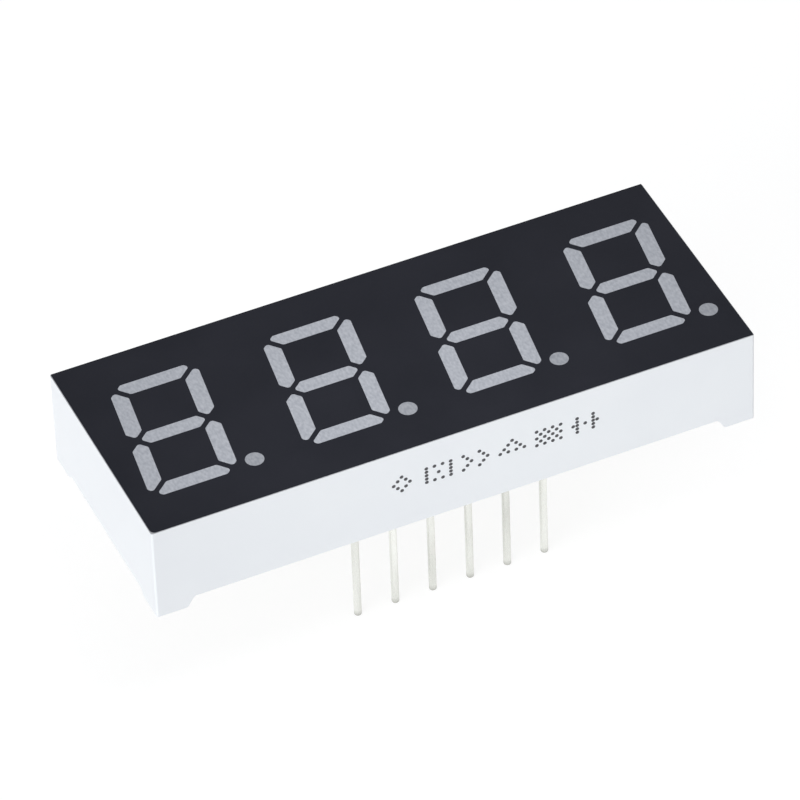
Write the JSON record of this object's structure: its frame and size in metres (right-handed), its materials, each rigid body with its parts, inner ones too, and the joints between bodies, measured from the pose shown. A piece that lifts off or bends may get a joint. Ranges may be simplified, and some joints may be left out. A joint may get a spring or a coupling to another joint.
{
  "type": "four-digit seven-segment led display",
  "caption": "Rectangular through-hole numeric LED display: white housing, black face, slanted seven-segment digits with decimal points, two rows of pins.",
  "frame": {"origin": "centre of the pin pattern, in the seating plane under the corner feet", "axes": "+X along the row of digits to the reader's right, +Y towards the top of the digits, +Z out of the face"},
  "size_m": [0.0402, 0.016, 0.0138],
  "materials": {
    "white_plastic": "satin, moulded, white",
    "black_ink": "smooth satin printed ink",
    "window_resin": "smooth milky resin, unlit",
    "board_laminate": "glass laminate",
    "copper": "etched copper",
    "led_chip": "diced semiconductor",
    "gold_wire": "drawn wire",
    "tinned_pin": "bright tin plating",
    "solder": "reflowed solder",
    "potting_resin": "poured resin, pale"
  },
  "bodies": {
    "root": {"reflector_housing": "white_plastic", "face_mask": "black_ink", "digit_1_segment_a": "window_resin", "digit_1_segment_b": "window_resin", "digit_1_segment_c": "window_resin", "digit_1_segment_d": "window_resin", "digit_1_segment_e": "window_resin", "digit_1_segment_f": "window_resin", "digit_1_segment_g": "window_resin", "digit_1_decimal_point": "window_resin", "digit_2_segment_a": "window_resin", "digit_2_segment_b": "window_resin", "digit_2_segment_c": "window_resin", "digit_2_segment_d": "window_resin", "digit_2_segment_e": "window_resin", "digit_2_segment_f": "window_resin", "digit_2_segment_g": "window_resin", "digit_2_decimal_point": "window_resin", "digit_3_segment_a": "window_resin", "digit_3_segment_b": "window_resin", "digit_3_segment_c": "window_resin", "digit_3_segment_d": "window_resin", "digit_3_segment_e": "window_resin", "digit_3_segment_f": "window_resin", "digit_3_segment_g": "window_resin", "digit_3_decimal_point": "window_resin", "digit_4_segment_a": "window_resin", "digit_4_segment_b": "window_resin", "digit_4_segment_c": "window_resin", "digit_4_segment_d": "window_resin", "digit_4_segment_e": "window_resin", "digit_4_segment_f": "window_resin", "digit_4_segment_g": "window_resin", "digit_4_decimal_point": "window_resin", "circuit_board": "board_laminate", "copper_tracks_front": "copper", "copper_tracks_back": "copper", "led_chips_digit_1": "led_chip", "led_chips_digit_2": "led_chip", "led_chips_digit_3": "led_chip", "led_chips_digit_4": "led_chip", "bond_wires_digit_1": "gold_wire", "bond_wires_digit_2": "gold_wire", "bond_wires_digit_3": "gold_wire", "bond_wires_digit_4": "gold_wire", "pin_01": "tinned_pin", "pin_02": "tinned_pin", "pin_03": "tinned_pin", "pin_04": "tinned_pin", "pin_05": "tinned_pin", "pin_06": "tinned_pin", "pin_07": "tinned_pin", "pin_08": "tinned_pin", "pin_09": "tinned_pin", "pin_10": "tinned_pin", "pin_11": "tinned_pin", "pin_12": "tinned_pin", "solder_joints": "solder", "potting_resin": "potting_resin"}
  },
  "joints": []
}
